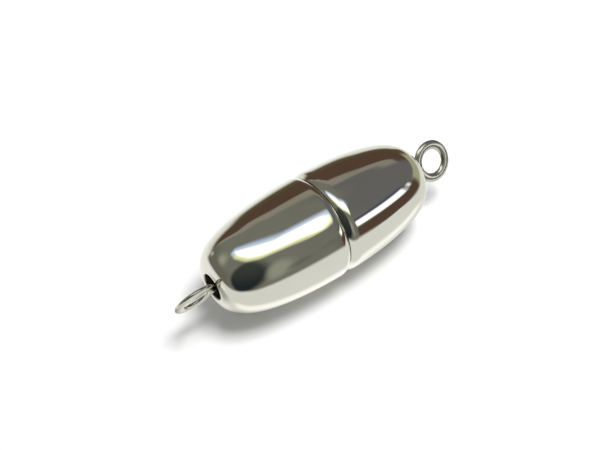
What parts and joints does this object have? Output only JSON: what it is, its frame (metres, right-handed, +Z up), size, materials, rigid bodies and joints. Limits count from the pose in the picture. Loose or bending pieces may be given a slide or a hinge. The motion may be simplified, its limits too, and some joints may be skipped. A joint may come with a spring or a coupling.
{
  "type": "screw clasp",
  "caption": "Barrel-shaped jewellery screw clasp of polished silver-coloured metal: hollow halves join by a hidden thread, with a swivelling wire loop at each end.",
  "frame": {"origin": "on the surface the clasp lies on, under the middle of its whole length", "axes": "+X along the clasp's axis towards the stud half, +Z up"},
  "size_m": [0.025, 0.008, 0.008],
  "materials": {
    "shell_metal": "mirror-polished silver, faintly warm",
    "loop_metal": "polished silver wire"
  },
  "bodies": {
    "socket_half": {"socket_shell": "shell_metal"},
    "near_loop": {"near_loop": "loop_metal"},
    "far_loop": {"far_loop": "loop_metal"},
    "stud_half": {"stud_shell": "shell_metal"}
  },
  "joints": [
    {"name": "near_loop_swivel", "type": "hinge", "parent": "socket_half", "child": "near_loop", "pos_m": [-0.01085, -0.00015, 0.004], "axis": [1, 0, 0], "continuous": true},
    {"name": "draw_apart", "type": "slide", "parent": "socket_half", "child": "far_loop", "axis": [1, 0, 0], "range_m": [0, 0.0035]},
    {"name": "unscrew", "type": "hinge", "parent": "far_loop", "child": "stud_half", "pos_m": [0, 0, 0.004], "axis": [1, 0, 0], "range_deg": [0, 1800]}
  ],
  "couplings": [
    {"joint": "unscrew", "follows": "draw_apart", "rad_per_m": 8976}
  ]
}
